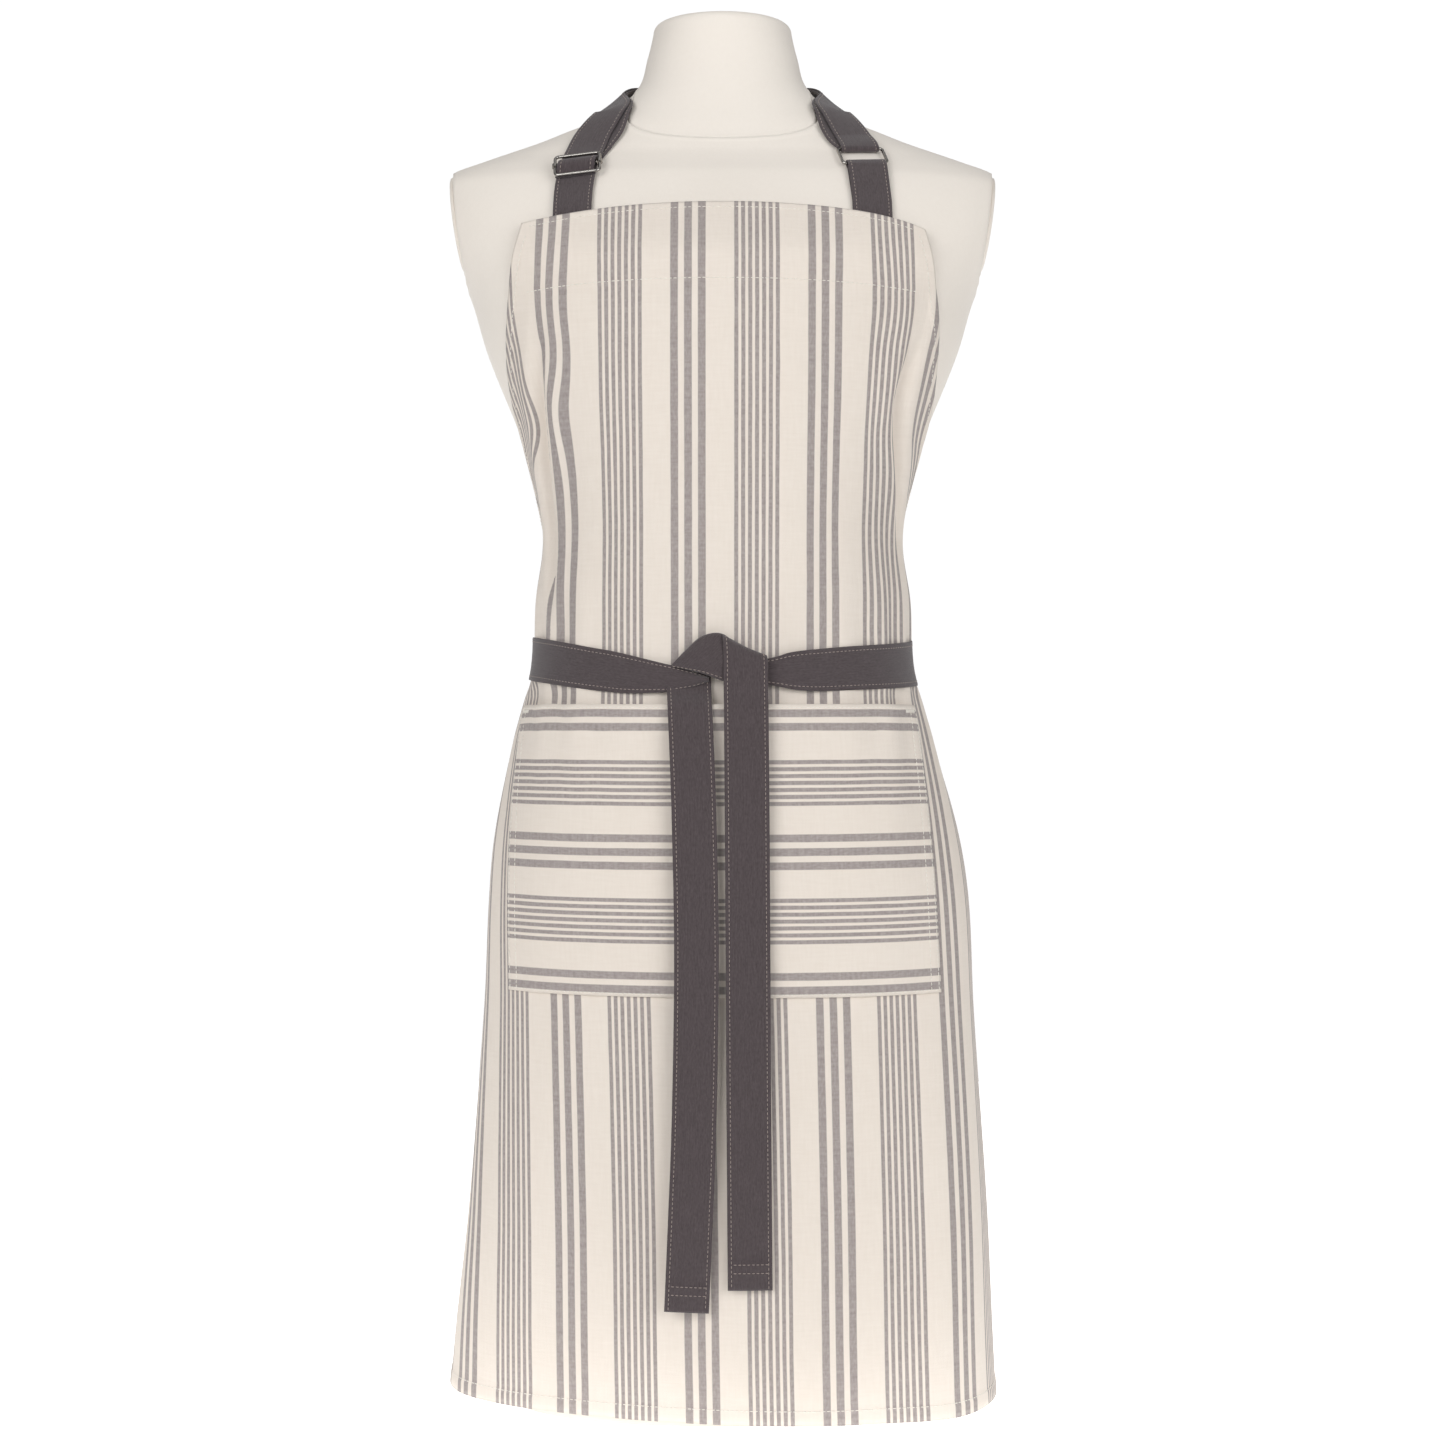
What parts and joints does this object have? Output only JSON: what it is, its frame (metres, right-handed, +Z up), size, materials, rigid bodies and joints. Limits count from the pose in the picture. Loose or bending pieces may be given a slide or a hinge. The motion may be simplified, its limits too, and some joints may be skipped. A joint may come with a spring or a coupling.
{
  "type": "bib apron",
  "caption": "Striped bib apron with an adjustable neck strap, a front pocket and long waist ties, worn on a headless dress form.",
  "frame": {"origin": "mouth of the pole socket, in the middle of the base's underside", "axes": "+Z up, along the body's height; the front faces -Y; +X is a front viewer's right"},
  "size_m": [0.4202, 0.2751, 1.057],
  "materials": {
    "form_skin": "matte knitted cotton, cream",
    "apron_cloth": "plain woven cotton, cream with grey stripes",
    "webbing": "twill cotton, charcoal grey",
    "wire": "bright nickel plate",
    "board": "plain plywood",
    "socket_steel": "black powder coat",
    "screw_steel": "zinc plate"
  },
  "bodies": {
    "root": {"torso_shell": "form_skin", "neck_block": "form_skin", "neck_cap": "form_skin", "armhole_plate_left": "form_skin", "armhole_plate_right": "form_skin", "base_board": "board", "fixing_blocks": "board", "base_screws": "screw_steel", "pole_socket": "socket_steel", "socket_screws": "screw_steel", "apron_panel": "apron_cloth", "pocket_panel": "apron_cloth", "pocket_bartacks": "apron_cloth", "neck_strap": "webbing", "ring_tab": "webbing", "strap_ring": "wire", "waist_tie_left": "webbing", "waist_tie_right": "webbing", "tie_knot": "webbing"},
    "tie_tail_left": {"tie_tail_left": "webbing"},
    "tie_tail_right": {"tie_tail_right": "webbing"},
    "slider": {"slider_frame": "wire", "slider_bar": "wire", "slider_sleeve": "webbing"}
  },
  "joints": [
    {"name": "tail_left_swing", "type": "hinge", "parent": "root", "child": "tie_tail_left", "pos_m": [-0.0235, -0.1208, 0.5403], "axis": [-1, 0, 0], "range_deg": [0, 65]},
    {"name": "tail_right_swing", "type": "hinge", "parent": "root", "child": "tie_tail_right", "pos_m": [0.017, -0.1228, 0.576], "axis": [-1, 0, 0], "range_deg": [0, 65]},
    {"name": "slider_slide", "type": "slide", "parent": "root", "child": "slider", "axis": [0.2258, 0.5848, 0.7791], "range_m": [0, 0.02]}
  ]
}
